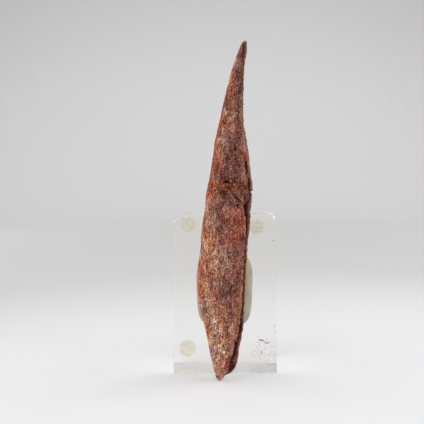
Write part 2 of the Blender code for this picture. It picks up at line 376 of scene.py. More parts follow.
def fit(piece: Object, node: str | None = None) -> Object:
    """Tie a finished piece to its body, and hide the solid that it stands for.

    Args:
        piece: The piece.
        node: The solid that it replaces, where there is one.

    Returns:
        The piece.
    """
    if node is not None:
        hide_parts(node)
    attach(piece, "root")
    return piece


# ---- Finishes ----


class Finish:
    """A real material. Each kind has a name, and draws what its Principled BSDF is given."""

    name: str

    def looks(self, tree: NodeTree) -> dict[str, Source]:
        """Draw the material's patterns.

        Args:
            tree: The node tree to draw in.

        Returns:
            What goes into each of the shader's inputs.
        """
        raise NotImplementedError

    def material(self) -> Material:
        """Make the node material.

        Returns:
            The material.
        """
        material = bpy.data.materials.new(self.name)
        material.use_nodes = True
        feed(material.node_tree.nodes["Principled BSDF"], self.looks(material.node_tree))
        return material


@dataclass(frozen=True)
class CastAcrylic(Finish):
    """Cast PMMA: water clear with polished sides, a satin sawn top and a little grime."""

    name = "cast_acrylic"
    tint: str = "#fcfcfb"
    grime: str = "#dedcd3"
    ior: float = 1.49
    polish: float = 0.0  # roughness of the sides
    smeared: float = 0.03  # their roughness where fingers left faint smears
    satin: float = 0.70  # roughness of the top
    top_z: Pair = (0.07680, 0.07695)
    smears: Mottle = Mottle((9.0, 9.0, 9.0), octaves=4)
    spots: Mottle = Mottle((1.6, 1.6, 1.6), octaves=4)
    grime_at: Triple = (0.0205, 0.0125, 0.0062)
    grime_size: Triple = (0.0080, 0.0010, 0.0085)

    def looks(self, tree: NodeTree) -> dict[str, Source]:
        """Clear transmission, finger smears, grime on the back and the satin top.

        Args:
            tree: The node tree to draw in.

        Returns:
            What goes into each of the shader's inputs.
        """
        place = add_node(tree, Kind.PLACE)
        patch = {"Vector": place, "Location": self.grime_at, "Scale": self.grime_size}
        away = add_node(tree, Kind.LENGTH, (add_node(tree, Kind.MAPPING, patch),))
        within = add_node(tree, Kind.RANGE, (away, 0.5, 1.2, 1.0, 0.0))
        spots = add_node(tree, Kind.RANGE, (self.spots.draw(tree), 0.42, 0.62))
        cover = add_node(tree, Kind.MULTIPLY, (spots, within))
        sides = add_node(tree, Kind.RANGE, (self.smears.draw(tree), 0.5, 0.8, self.polish, self.smeared))
        height = add_node(tree, Kind.AXES, (place,)).node.outputs["Z"]
        top = add_node(tree, Kind.RANGE, (height, *self.top_z, 0.0, self.satin))
        return {
            "Base Color": add_node(tree, Kind.MIX, {0: cover, 6: linear(self.tint), 7: linear(self.grime)}),
            "Roughness": add_node(tree, Kind.ADD, (sides, top)),
            "IOR": self.ior,
            "Transmission Weight": 1.0,
        }


@dataclass(frozen=True)
class BumperRubber(Finish):
    """Moulded polyurethane: soft, milky and gone slightly yellow, lit from within, with painted shade at its
    low rim.
    """

    name = "moulded_polyurethane"
    body: str = "#fffcf0"
    # yellowing in clouds, and painted shade at the low rim
    yellow_and_shade: str = "#efe5ca"
    clouds: Mottle = Mottle((2.0, 2.0, 1.2))
    cloud_cover: float = 0.66
    rim_shade_band: Pair = (0.30, 0.75)  # how near the low rim its painted shade begins and is full
    rim_shade_cover: float = 0.34
    light_reach_mm: Triple = (4.0, 3.6, 2.8)  # of red, green and blue
    ior: float = 1.48
    roughness: float = 0.5

    def looks(self, tree: NodeTree) -> dict[str, Source]:
        """A translucent body, yellowed in clouds, with painted shade toward its low rim.

        Args:
            tree: The node tree to draw in.

        Returns:
            What goes into each of the shader's inputs.
        """
        cloud = add_node(tree, Kind.RANGE, (self.clouds.draw(tree), 0.38, 0.66, 0.0, self.cloud_cover))
        rim_shade = add_node(tree, Kind.ATTRIBUTE, attribute_name="rim_shade")
        rim = add_node(tree, Kind.RANGE, (rim_shade, *self.rim_shade_band, 0.0, self.rim_shade_cover))
        cover = add_node(tree, Kind.ADD, (cloud, rim))
        return {
            "Base Color": add_node(tree, Kind.MIX, {0: cover, 6: linear(self.body), 7: linear(self.yellow_and_shade)}),
            "Roughness": self.roughness,
            "IOR": self.ior,
            "Subsurface Weight": 1.0,
            "Subsurface Scale": 1.0,
            "Subsurface Radius": tuple(reach * MM for reach in self.light_reach_mm),
        }


@dataclass(frozen=True)
class AdhesivePutty(Finish):
    """Kneaded mounting putty: grey with a little green in it, dull, dented by fingertips."""

    name = "mounting_putty"
    body: str = "#b2a792"
    smear: str = "#a2967f"
    clouds: Mottle = Mottle((3.5, 3.5, 6.0))
    drags: Mottle = Mottle((0.7, 0.7, 7.0), octaves=2)
    drag_depth: float = 0.00015
    roughness: float = 0.62

    def looks(self, tree: NodeTree) -> dict[str, Source]:
        """Two near greys in clouds, and the drag marks of a thumb as bump.

        Args:
            tree: The node tree to draw in.

        Returns:
            What goes into each of the shader's inputs.
        """
        cloud = add_node(tree, Kind.RANGE, (self.clouds.draw(tree), 0.35, 0.7))
        drags = {"Height": self.drags.draw(tree), "Strength": 0.25, "Distance": self.drag_depth}
        return {
            "Base Color": add_node(tree, Kind.MIX, {0: cloud, 6: linear(self.body), 7: linear(self.smear)}),
            "Roughness": self.roughness,
            "Normal": add_node(tree, Kind.BUMP, drags),
        }


class Mark(Enum):
    """A kind of mark on the block: its colour, its lighter clouds, and how strongly it glows as a painted
    highlight.
    """

    DARK_DIRT = ("#4e4b45", "#857f75", 0.0)
    PALE_DIRT = ("#a8a498", "#d2cfc4", 0.0)
    # painted highlight: white patches that glow faintly where the block's edges catch the softboxes
    PAINTED_HIGHLIGHT = ("#fbfbf8", "#efefec", 0.28)


@dataclass(frozen=True)
class MarkedAcrylic(Finish):
    """Dull specks of dried glue with dirt in it, and painted highlights: white patches on the edges that glow
    faintly.
    """

    mark: Mark
    clouds: Mottle = Mottle((0.6, 0.6, 0.6))
    roughness: float = 0.9

    @property
    def name(self) -> str:
        """The name of the material."""
        return "acrylic_" + self.mark.name.lower()

    def looks(self, tree: NodeTree) -> dict[str, Source]:
        """Two near tones in clouds. A painted highlight is a faint glow.

        Args:
            tree: The node tree to draw in.

        Returns:
            What goes into each of the shader's inputs.
        """
        dark, light, glint = self.mark.value
        cloud = add_node(tree, Kind.RANGE, (self.clouds.draw(tree), 0.3, 0.7))
        colour = add_node(tree, Kind.MIX, {0: cloud, 6: linear(dark), 7: linear(light)})
        return {
            "Base Color": colour,
            "Roughness": self.roughness,
            "Emission Color": colour,
            "Emission Strength": glint,
        }


@dataclass(frozen=True)
class StudioPaper(Finish):
    """Matte background paper: nearly white where the object stands, with painted shade that greys it further
    back, toward the left and the sides, and on a border high on the wall.
    """

    name = "studio_paper"
    # one paper: near, middle, wall and edge differ by painted shade where less light falls
    near: str = "#ededee"
    middle: str = "#d6d5d5"
    wall: str = "#e7e6e6"
    edge: str = "#c8c8c8"
    near_y: float = 0.02
    far_y: float = 0.34
    wall_y: float = 1.25
    border: Pair = (0.15, 1.00)  # how far from its middle the painted shade on the wall begins and is full
    middle_z: float = 0.10
    across_share: float = 0.35  # how much distances across count for the border
    slant: float = 0.25  # how much nearer the bands of painted shade come to the left
    bow: float = 1.6  # how much nearer they come to both sides, per metre squared
    roughness: float = 0.95

    def looks(self, tree: NodeTree) -> dict[str, Source]:
        """Painted shade: a change of grey along Y, and a darker border high on the wall.

        Args:
            tree: The node tree to draw in.

        Returns:
            What goes into each of the shader's inputs.
        """
        place = add_node(tree, Kind.PLACE)
        axes = add_node(tree, Kind.AXES, (place,)).node.outputs
        curved = add_node(tree, Kind.MULTIPLY_ADD, (axes["X"], self.bow, -self.slant))
        along = add_node(tree, Kind.MULTIPLY_ADD, (axes["X"], curved, axes["Y"]))
        back = add_node(tree, Kind.RANGE, (along, self.near_y, self.far_y))
        upright = add_node(tree, Kind.RANGE, (along, self.far_y, self.wall_y))
        sources = {"Vector": place, "Location": (0, 0, -self.middle_z), "Scale": (self.across_share, 0, 1)}
        from_middle = add_node(tree, Kind.MAPPING, sources, vector_type="POINT")
        border = add_node(tree, Kind.RANGE, (add_node(tree, Kind.LENGTH, (from_middle,)), *self.border))
        wall = add_node(tree, Kind.MIX, {0: border, 6: linear(self.wall), 7: linear(self.edge)})
        rear = add_node(tree, Kind.MIX, {0: upright, 6: linear(self.middle), 7: wall})
        return {
            "Base Color": add_node(tree, Kind.MIX, {0: back, 6: linear(self.near), 7: rear}),
            "Roughness": self.roughness,
            "Specular IOR Level": 0.1,
        }


class Stain(Enum):
    """What coloured a patch of the bone: how much red, green and blue it leaves."""

    OCHRE = (1.35, 0.85, 0.38)
    RED = (1.15, 0.56, 0.50)
    VIOLET = (0.50, 0.46, 0.56)
    ASHEN = (1.08, 1.44, 1.62)
    # partly a pale stain, partly painted light where the left side is lit
    TAN = (1.66, 1.82, 1.70)
    UMBER = (0.55, 0.42, 0.30)


@dataclass(frozen=True)
class Flecks:
    """Flecks of one colour: they show where a pattern is above a band."""

    colour: str
    pattern: Mottle
    band: Pair
    cover: float


@dataclass(frozen=True)
class FossilBone(Finish):
    """Bone replaced by iron-stained mineral: granular, dull, red-brown in patches."""

    name = "iron_stained_fossil_bone"
    tones: tuple[tuple[float, str], ...] = (
        (0.20, "#240f0e"),
        (0.34, "#51251f"),
        (0.44, "#753e34"),
        (0.52, "#925546"),
        (0.61, "#ac7862"),
        (0.74, "#c8a490"),
    )
    grain: Mottle = Mottle((0.65, 0.65, 1.15), octaves=2, lean=8.0, weight=0.50)
    fine: Mottle = Mottle((0.39, 0.39, 0.62), octaves=1, lean=8.0, weight=0.78)
    fibre: Mottle = Mottle((0.55, 0.55, 3.20), octaves=2, lean=8.0, weight=0.44)
    patch: Mottle = Mottle((3.5, 3.5, 6.0), octaves=3, weight=0.50)
    near_hue: Mottle = Mottle((1.0, 1.0, 2.0), octaves=2, shift=5.3, lean=8.0, weight=0.8)
    broad_hue: Mottle = Mottle((3.5, 3.5, 6.0), octaves=2, shift=7.9, weight=0.9)
    grey_tint: Triple = (0.93, 1.03, 1.16)
    yellow_tint: Triple = (1.03, 1.01, 0.78)
    rust: Flecks = Flecks("#b85520", Mottle((0.75, 0.75, 1.3), octaves=1, shift=3.7), (0.60, 0.72), 0.36)
    grit: Flecks = Flecks("#dabea9", Mottle((0.55, 0.55, 0.8), octaves=1, shift=9.1), (0.62, 0.77), 0.50)
    # wear, and painted highlights along the near lip and the ledge's ridge
    worn_and_highlit: str = "#c4855c"
    # painted shade in pores, cracks, the slot, the crease and the groove
    recess_shade: str = "#150a07"
    roughness: Pair = (0.9, 0.62)  # in the dips of the grain, and on its lumps
    grain_depth: float = 0.00022
    fine_depth: float = 0.00010

    @staticmethod
    def blend(tree: NodeTree, parts: list[tuple[NodeSocket, float]]) -> NodeSocket:
        """Add up patterns, each by its weight, about a middle of 0.5.

        Args:
            tree: The node tree.
            parts: Each pattern's socket and its weight.

        Returns:
            The sum's socket.
        """
        total = 0.5 * (1 - sum(weight for _, weight in parts))
        for socket, weight in parts:
            total = add_node(tree, Kind.MULTIPLY_ADD, (socket, weight, total))
        return total

    def looks(self, tree: NodeTree) -> dict[str, Source]:
        """Mottled browns, then stains, flecks, edges lightened by wear and painted highlights, and painted
        shade in the dips.

        Args:
            tree: The node tree to draw in.

        Returns:
            What goes into each of the shader's inputs.
        """
        grain, fine = self.grain.draw(tree), self.fine.draw(tree)
        parts = [(grain, self.grain.weight), (fine, self.fine.weight)]
        parts += [(pattern.draw(tree), pattern.weight) for pattern in (self.fibre, self.patch)]
        shade = add_node(tree, Kind.TONES, (self.blend(tree, parts),))
        stops = shade.node.color_ramp.elements
        for index, (place, code) in enumerate(self.tones):
            stop = stops[index] if index < 2 else stops.new(place)
            stop.position, stop.color = place, linear(code)
        hues = [(pattern.draw(tree), pattern.weight) for pattern in (self.near_hue, self.broad_hue)]
        hue = add_node(tree, Kind.RANGE, (self.blend(tree, hues), 0.32, 0.68))
        tint = add_node(tree, Kind.MIX, {0: hue, 6: (*self.grey_tint, 1.0), 7: (*self.yellow_tint, 1.0)})
        colour = add_node(tree, Kind.TINT, {0: 1.0, 6: shade, 7: tint})
        for stain in Stain:
            cover = add_node(tree, Kind.ATTRIBUTE, attribute_name=stain.name.lower())
            colour = add_node(tree, Kind.TINT, {0: cover, 6: colour, 7: (*stain.value, 1.0)})
        for flecks in (self.rust, self.grit):
            cover = add_node(tree, Kind.RANGE, (flecks.pattern.draw(tree), *flecks.band, 0.0, flecks.cover))
            colour = add_node(tree, Kind.MIX, {0: cover, 6: colour, 7: linear(flecks.colour)})
        # wear with painted highlights on the edges, then painted shade in the recesses
        for name, code in (("worn_and_highlit", self.worn_and_highlit), ("recess_shade", self.recess_shade)):
            cover = add_node(tree, Kind.ATTRIBUTE, attribute_name=name)
            colour = add_node(tree, Kind.MIX, {0: cover, 6: colour, 7: linear(code)})
        rough = {"Height": grain, "Strength": 1.0, "Distance": self.grain_depth}
        gritty = {"Height": fine, "Strength": 0.8, "Distance": self.fine_depth}
        gritty["Normal"] = add_node(tree, Kind.BUMP, rough)
        return {
            "Base Color": colour,
            "Roughness": add_node(tree, Kind.RANGE, (grain, 0.3, 0.7, *self.roughness)),
            "Specular IOR Level": 0.2,
            "Normal": add_node(tree, Kind.BUMP, gritty),
        }


# ---- The spine ----


class Side(Enum):
    """The spine's two broad sides, with the sign of Y that each faces."""

    FRONT = -1
    BACK = 1


@dataclass(frozen=True)
class Skin:
    """The spine's plain surface, before it is carved: rows of points from its foot to its top."""

    points: Array  # rows by points around by coordinates
    across: Array  # each column's way across the rear: -1 the front side, 1 the back side
    way: Array  # each column's way from the leading edge to the lip
    thickness: Array  # half thickness at each point's height
    leaning: Array  # the points, with X from the bone's middle line and Y from its middle plane

    def noise(self, cell_mm: float | Triple, seed: int) -> Array:
        """Value noise from -1 to 1, in cells of a real size that lean with the bone."""
        return lumpy(self.leaning / (np.array(cell_mm) * MM), seed)


@dataclass(frozen=True)
class Features:
    """What is at each point of the skin: noises from -1 to 1, and shares from 0 to 1."""

    bundle: Array  # noise: bundles of fibres
    strand: Array  # noise: single fibres
    pore: Array
    toward: Array  # how much the point belongs to the front half
    front: Array  # the same, without the rear
    layer: Array  # the torn outer layer
    crease: Array  # at the foot of that layer
    slot: Array
    crack: Array
    groove: Array  # heights at which the groove is open


@dataclass(frozen=True)
class Relief:
    """How high or deep each kind of feature is, in millimetres."""

    slow: float = 0.16  # long waves
    broad: float = 0.10  # broad lumps
    bundle: float = 0.09
    strand: float = 0.07
    pore: float = 0.16
    layer: float = 0.50
    crease: float = 0.40
    slot: float = 1.3
    crack: float = 0.6


@dataclass(frozen=True)
class Lumps:
    """The size of each kind of lump along X, Y and Z, in millimetres.

    Real fibres and pores are finer. They are drawn as coarse as it takes for them to show.
    """

    bundle: Triple = (0.85, 0.85, 2.6)
    strand: Triple = (0.50, 0.50, 1.0)
    pore: Triple = (1.3, 1.3, 2.2)
    swell: Triple = (2.6, 2.6, 5.5)
    stain_edge: Triple = (1.5, 1.5, 2.6)
    stain_nick: Triple = (0.6, 0.6, 1.1)
    stain_cloud: Triple = (3.6, 3.6, 7.0)


@dataclass(frozen=True)
class RecessShade:
    """How dark the painted shade is inside each kind of recess, from 0 to 1."""

    cut: float = 0.97  # the slot and the cracks
    groove: float = 0.97
    broken_groove: float = 0.25
    pore: float = 0.45
    far_lip: float = 0.40


@dataclass
class FinSpine:
    """The fossil fin spine.

    Each section at a height z runs from a rounded leading edge to two lips at the rear, with
    a groove between them. Single sizes are in metres, or in millimetres where their name says
    so. The tables are in millimetres, and give (z, x), or (z, size).
    """

    finish: FossilBone
    relief: Relief = Relief()
    lumps: Lumps = Lumps()
    shade_in_recesses: RecessShade = RecessShade()
    axis_y: float = -0.0225
    top: float = 0.1590
    rows: int = 515
    side_steps: int = 76
    side_spread: float = 1.25
    rear_steps: int = 40
    thickest_at: float = 0.45
    roundness: float = 2.2
    rear_share: float = 0.66
    groove_lip: float = 0.68
    groove_wall: float = 3.0
    groove_ends: Pair = (0.0945, 0.0985)
    front_edge: Stations = (
        (0, -3.2), (1.2, -4.3), (4, -5), (9.6, -6.4), (15, -7.6), (20.9, -8.6), (26.5, -9.9),
        (32.1, -11.2), (37.8, -12.3), (43.4, -12.7), (49, -12.5), (54.6, -12.3), (59, -11.7),
        (63, -11.2), (68.7, -10.9), (74, -10.3), (79.9, -9.2), (85.5, -8.8), (96.7, -6.7),
        (105.2, -5.3), (110.8, -4.6), (122, -2), (133.2, 0.5), (144.5, 3.4), (155.7, 7.4),
        (158.5, 8.8), (159, 9.4),
    )
    rear_edge: Stations = (
        (0, -2.2), (1.3, -1.5), (2.1, 0), (3.2, 2.5), (5.1, 4.5), (10.5, 6), (13.9, 6.6), (18.6, 7.6),
        (25.6, 8.7), (32, 9), (36.7, 9.3), (43.4, 9.7), (51, 10.1), (60.1, 10.9), (65.3, 11.2),
        (71.4, 12), (76.6, 12.2), (82.5, 12.8), (86.9, 13.2), (88, 12.5), (88.5, 12.5), (88.9, 13.6),
        (89.8, 13.5), (95.5, 12.9), (100.9, 12.1), (105.1, 11.7), (110.7, 10.9), (116.3, 10),
        (122, 9.1), (127.6, 9), (132, 9.2), (138.8, 9.3), (144.4, 9.5), (150, 10.1), (155.7, 10.9),
        (159, 10.9),
    )
    near_lip: Stations = (
        (0, -2.4), (4, 0.8), (5.6, 1.2), (12.1, 2.9), (17, 4.3), (22.3, 6), (25, 6.4), (31.1, 7.1),
        (38.5, 7.8), (43.7, 8.1), (52.3, 8.4), (58.3, 8.9), (66.2, 9.4), (69.9, 9.7), (72.6, 9.7),
        (75.4, 9.9), (78.2, 9.3), (80.5, 8.9), (82.3, 8.7), (83.2, 10.1), (84.4, 10.8), (86, 11.4),
        (88, 11), (92, 10.8), (94.8, 11), (97.5, 11.1), (101.7, 10.5), (111, 9.4), (122, 7.9),
        (139, 8.3), (150, 9.4), (157, 10.2), (159, 10.4),
    )
    half_thickness: Stations = (
        (0, 0.5), (1.5, 1.3), (4, 2.2), (10, 3.6), (20, 5.2), (32, 6.5), (43, 6.8), (60, 6.6),
        (80, 6.3), (95, 6), (110, 5), (125, 3.8), (140, 2.7), (150, 1.9), (157, 1.3), (159, 0.8),
    )
    far_rim: Stations = (
        (0, 0.4), (8, 0.6), (16.6, 0.7), (27.2, 0.5), (36.7, 0.4), (51, 0.6), (65.3, 0.8), (68.2, 0.8),
        (76.6, 0.9), (81.4, 1.2), (86.4, 0.9), (89.2, 1), (94, 0.7), (97.5, 0.8), (102, 1), (159, 1.2),
    )
    groove_depth: Stations = (
        (0, 0.2), (4, 0.8), (10, 3.5), (25, 6), (45, 5.5), (70, 4), (86, 3.6), (95, 2), (102, 0.6),
        (159, 0),
    )
    ledge: Stations = (  # x and z of the torn layer's foot
        (2, 91.2), (2.5, 90.2), (3.5, 88.4), (4.8, 86.3), (6.7, 85.2), (7.6, 84.2), (8.5, 82.9),
        (9.2, 82.2),
    )
    lip_chips: Rows = (  # depth, row of the noise and length in millimetres, and seed
        (0.16, 3.1, 0.9, Seed.LIP_CHIPS),
        (0.07, 7.7, 0.42, Seed.LIP_NICKS),
    )
    layer_foot_mm: Pair = (0, 0.5)  # above the ledge, where the torn layer begins
    layer_fade_mm: Pair = (2, 15)  # above the ledge, where it thins out
    crease_below_mm: float = 0.15
    crease_width_mm: float = 0.38
    crease_end: Pair = (0.095, 0.090)  # heights over which it fades out and is full
    slot_half_mm: Pair = (1.55, 0.68)
    slot_bend_mm: float = 0.50  # how far its ends hang below its middle
    crack_wander_mm: float = 0.3
    ledge_highlight: tuple[Pair, Pair] = ((0.0052, 0.0060), (0.0078, 0.0088))  # X where its ridge gets a painted highlight
    flake: tuple[Pair, Pair] = ((0.0885, 0.0890), (0.0965, 0.0990))  # heights of the rubbed flake
    lip_light_end: Pair = (0.056, 0.066)
    # heights over which the painted light on the leading edge fades out
    lit_edge_end: Pair = (0.085, 0.100)
    groove_dark_end: Pair = (0.0945, 0.0958)
    broken_groove_end: Pair = (0.006, 0.015)
    slot_at: Pair = (0.0010, 0.0932)
    waves: tuple[Triple, ...] = (  # lengths along Z and X, and phase
        (0.0370, 0.0310, 0.4),
        (0.0230, -0.0190, 2.1),
        (0.0141, 0.0117, 4.4),
        (0.0094, -0.0083, 1.3),
    )
    cracks: Rows = (  # x and z of each end, then the width
        (-0.9, 22.8, -0.8, 21.2, 0.22),
        (-0.7, 18.0, -0.6, 15.2, 0.20),
        (1.3, 63.2, 1.9, 56.3, 0.20),
        (5.3, 109.2, 5.1, 107.8, 0.35),
        (10.0, 102.0, 10.2, 99.6, 0.75),
        (10.3, 99.6, 10.6, 97.0, 0.50),
        (8.9, 86.8, 9.0, 85.0, 0.30),
        (6.1, 82.6, 6.6, 80.6, 0.22),
        (9.0, 154.5, 9.2, 153.0, 0.25),
    )
    # x and z of the middle, half width and half height in millimetres, then the strength
    stains: tuple[tuple[Stain, Rows], ...] = (
        (Stain.OCHRE, (
            (4.2, 133.8, 1, 1.4, 0.7), (-0.8, 120.6, 1.4, 3.6, 0.7), (4.9, 118.2, 0.8, 1.6, 0.7),
            (-2.6, 109.8, 0.9, 1.1, 1), (3.4, 108.7, 0.7, 1.3, 0.9), (1, 91.8, 2.6, 2.6, 0.7),
            (2.7, 93.8, 0.9, 1.1, 1), (-1.3, 93.8, 0.8, 1.1, 1), (6.8, 81.6, 0.8, 1.8, 1),
            (-6.8, 66, 2.4, 2.6, 0.25), (-11.9, 52, 1.2, 3.4, 0.7), (-11, 44, 1.8, 4, 0.3),
            (5.3, 37.2, 0.9, 0.9, 1), (-8.2, 24.5, 1, 3.4, 0.8), (-1.2, 20, 0.8, 2.2, 0.35),
        )),
        (Stain.RED, (
            (-3.4, 100.6, 2.8, 5, 0.6), (8.8, 103, 1.2, 4, 0.7), (-6.4, 88.5, 2.6, 5.6, 0.6),
            (6, 76.8, 3.2, 5.2, 0.85), (5.8, 69, 3.4, 4.4, 0.8), (1.3, 65.9, 2.8, 3, 0.9),
            (-11.9, 52.5, 1, 4, 0.6), (-6, 39.5, 2.2, 3, 0.4), (0.6, 7.5, 1.4, 3.4, 0.7),
        )),
        (Stain.VIOLET, (
            (8.2, 142, 2.7, 16, 1), (10.4, 153, 1.8, 7, 0.8), (9.2, 147.6, 1.2, 3, 0.5),
            (4.6, 129, 2.2, 5.6, 0.8), (5.8, 121.5, 1.6, 6, 0.6), (5.8, 112.8, 3.4, 5.4, 1),
            (3.8, 104.6, 4.4, 6.4, 0.85), (1.8, 97, 5, 7, 1), (7, 95, 3.6, 4.6, 0.6),
            (1.8, 84.6, 5.2, 5, 0.8), (1.4, 79.7, 2.2, 3.6, 0.6), (-2, 77, 2.4, 7.8, 0.9),
            (-5.2, 75.5, 1.8, 3, 0.4), (5.6, 74, 3, 4, 0.4), (2.6, 65, 4, 3.6, 0.7),
            (6.8, 61, 3.2, 6, 0.8), (2.2, 61.4, 2, 3.4, 0.5), (0.8, 44.5, 4.2, 6.6, 0.9),
            (6.2, 50, 2.6, 8.5, 0.7), (-8.5, 35, 2.2, 3.4, 0.6), (-0.3, 24, 1.8, 3, 0.4),
            (0.6, 7.5, 1.4, 3.4, 0.3), (10, 86.2, 1.7, 3.2, 1),
        )),
        (Stain.ASHEN, (
            (9.6, 157.6, 1.4, 1.8, 0.8), (-0.3, 129, 2, 3.6, 0.9), (1, 109.6, 1.7, 3.4, 0.9),
            (-5.6, 81.2, 2.6, 3.4, 0.9), (-7.6, 74.8, 1.6, 3.6, 0.5), (-1.8, 59, 4.4, 6.6, 1),
            (-8.5, 35, 3, 4.2, 1), (-4.5, 33.5, 1.6, 3.4, 0.8), (-6, 16.5, 5.4, 12.5, 1),
            (-9.8, 61.6, 2.2, 5.6, 0.5), (5.2, 150, 1.6, 6, 0.7), (-9.4, 29, 2.8, 6, 0.8),
            (-3.8, 6.6, 3.8, 5.6, 0.55),
        )),
        # partly pale stain, partly painted light low on the lit left side
        (Stain.TAN, (
            (3, 140, 2, 9, 0.6), (6.5, 152.2, 1.6, 6, 0.85), (-2.8, 112.6, 1.6, 2.2, 0.5),
            (-5.2, 99.8, 1.6, 4, 0.5), (2.7, 93.8, 0.9, 1.1, 0.8), (1.1, 91.9, 1.4, 0.9, 0.8),
            (-1.3, 93.8, 0.7, 1, 0.6), (-6.6, 68.6, 4, 4, 0.75), (-2.6, 58.5, 3.6, 5.6, 0.5),
            (-4, 50, 2.2, 3.6, 0.5), (-9, 57, 4.2, 8.4, 1), (-9.8, 45, 3.4, 8, 0.9),
            (-12, 44.7, 1.8, 4.4, 1), (-6.6, 34, 5.6, 6, 0.6), (-6.2, 17, 6.2, 21.5, 1),
            (1.8, 29, 2.6, 5, 0.5), (-11.4, 39, 2.6, 7, 0.9),
        )),
        (Stain.UMBER, (
            (8.2, 142.5, 1.1, 4.8, 0.7), (8.9, 149, 1, 4.6, 0.8), (9.6, 154, 0.8, 3.4, 0.8),
            (0.4, 91.8, 4.4, 5, 1), (7.8, 89.8, 3.6, 4.6, 0.8), (6.8, 86.8, 2, 2, 0.7),
            (10, 85.2, 1.2, 2, 0.6),
        )),
    )

    def section_half(self, share: Array, z: Array) -> Array:
        """Half thickness: a superellipse from the leading edge, then a taper by the square.

        Args:
            share: Way from the leading edge to the lip, 0 to 1.
            z: Heights.

        Returns:
            Distance from the spine's middle plane.
        """
        toward_front = np.clip(1 - share / self.thickest_at, 0, 1)
        toward_rear = np.clip((share - self.thickest_at) / (1 - self.thickest_at), 0, 1)
        rounded = (1 - toward_front**self.roundness) ** (1 / self.roundness)
        shape = rounded * (1 - (1 - self.rear_share) * toward_rear**2)
        return curve_through(self.half_thickness, z) * shape

    def lip_x(self, side: Side, z: Array) -> Array:
        """Where a side ends at the rear, chipped by up to a fifth of a millimetre.

        Args:
            side: Which side.
            z: Heights.

        Returns:
            X of the lip.
        """
        lip = curve_through(self.near_lip if side is Side.FRONT else self.rear_edge, z)
        for depth, row, length, seed in self.lip_chips:
            spot = np.stack([np.zeros_like(z), np.full_like(z, side.value * row), z / (length * MM)], axis=-1)
            lip = lip + depth * MM * lumpy(spot, seed) * between(z, (0, 0.003), (0.150, self.top))
        return lip

    def side_points(self, share: Array, z: Array, side: Side) -> Array:
        """Points of one broad side.

        Args:
            share: Way from the leading edge to the lip, 0 to 1.
            z: Heights.
            side: Which side.

        Returns:
            The points.
        """
        front = curve_through(self.front_edge, z)
        x = front + (self.lip_x(side, z) - front) * share
        y = self.axis_y + side.value * self.section_half(share, z)
        return np.stack([x, y, z], axis=-1)

    def rear_points(self, across: Array, z: Array) -> Array:
        """Points of the rear, from the front side's lip at -1 to the back side's at 1.

        In the groove, each half drops from its lip to the floor as 1 minus a power of the
        distance from the middle. Closed, the rear is a quarter of a sine wave.

        Args:
            across: Way across, -1 to 1.
            z: Heights.

        Returns:
            The points.
        """
        near, far = self.lip_x(Side.FRONT, z), self.lip_x(Side.BACK, z)
        floor = near - curve_through(self.groove_depth, z)
        rim = np.where(across > 0, curve_through(self.far_rim, z), 0.0)
        lip = np.where(across > 0, far, near)
        bevel = np.clip((1 - np.abs(across)) / (1 - self.groove_lip), 0, 1)
        drop = 1 - np.clip(np.abs(across) / self.groove_lip, 0, 1) ** self.groove_wall
        open_x = lip - rim * bevel - (lip - rim - floor) * drop
        closed_x = near + (far - near) * np.sin(math.pi / 4 * (1 + across))
        closed = smooth_step(*self.groove_ends, z)
        y = self.axis_y + curve_through(self.half_thickness, z) * self.rear_share * across
        return np.stack([open_x + closed * (closed_x - open_x), y, z], axis=-1)

    def skin(self) -> Skin:
        """Join the front side, the rear and the back side into one plain surface.

        Returns:
            The surface.
        """
        heights = np.linspace(0, self.top, self.rows)
        share = np.linspace(0, 1, self.side_steps + 1) ** self.side_spread
        across = np.linspace(-1, 1, self.rear_steps + 1)[1:-1]
        z_side, u = np.meshgrid(heights, share, indexing="ij")
        z_rear, v = np.meshgrid(heights, across, indexing="ij")
        near = self.side_points(u, z_side, Side.FRONT)
        far = self.side_points(u, z_side, Side.BACK)[:, :0:-1]
        points = np.concatenate([near, self.rear_points(v, z_rear), far], axis=1)
        z = points[..., 2]
        middle = (curve_through(self.front_edge, z) + curve_through(self.rear_edge, z)) / 2
        origin = np.stack([middle, np.full_like(z, self.axis_y), np.zeros_like(z)], axis=-1)
        return Skin(
            points=points,
            across=np.concatenate([np.full(share.size, -1.0), across, np.full(share.size - 1, 1.0)]),
            way=np.concatenate([share, np.ones(across.size), share[:0:-1]]),
            thickness=curve_through(self.half_thickness, z),
            leaning=points - origin,
        )

    def torn_layer(self, skin: Skin) -> tuple[Array, Array]:
        """The outer layer above the ledge, and the crease at its foot.

        Args:
            skin: The surface.

        Returns:
            The layer and the crease, from 0 to 1.
        """
        x, _, z = np.moveaxis(skin.points, -1, 0)
        start = self.ledge[0][0] * MM
        ragged = 0.45 * MM * skin.noise(1.1, Seed.LEDGE) + 0.2 * MM * skin.noise(0.5, Seed.LEDGE_NICKS)
        above = z - np.interp(x, *(MM * np.array(self.ledge).T)) + ragged
        reach = smooth_step(start - 0.4 * MM, start + 0.5 * MM, x + ragged)
        layer = between(above / MM, self.layer_foot_mm, self.layer_fade_mm)
        crease = bell(above / MM + self.crease_below_mm, self.crease_width_mm)
        crease = crease * smooth_step(*self.crease_end, z)
        return layer * reach, crease * reach

    def slot(self, skin: Skin) -> Array:
        """The dark slot above the ledge: a flat ellipse, bent down at its ends.

        Args:
            skin: The surface.

        Returns:
            Depth from 0 to 1.
        """
        half_x, half_z = MM * np.array(self.slot_half_mm)
        along = (skin.points[..., 0] - self.slot_at[0]) / half_x
        up = (skin.points[..., 2] - self.slot_at[1] + self.slot_bend_mm * MM * along**2) / half_z
        return 1 - smooth_step(0.6, 1.15, np.hypot(along, up) + 0.2 * skin.noise(0.6, Seed.SLOT))

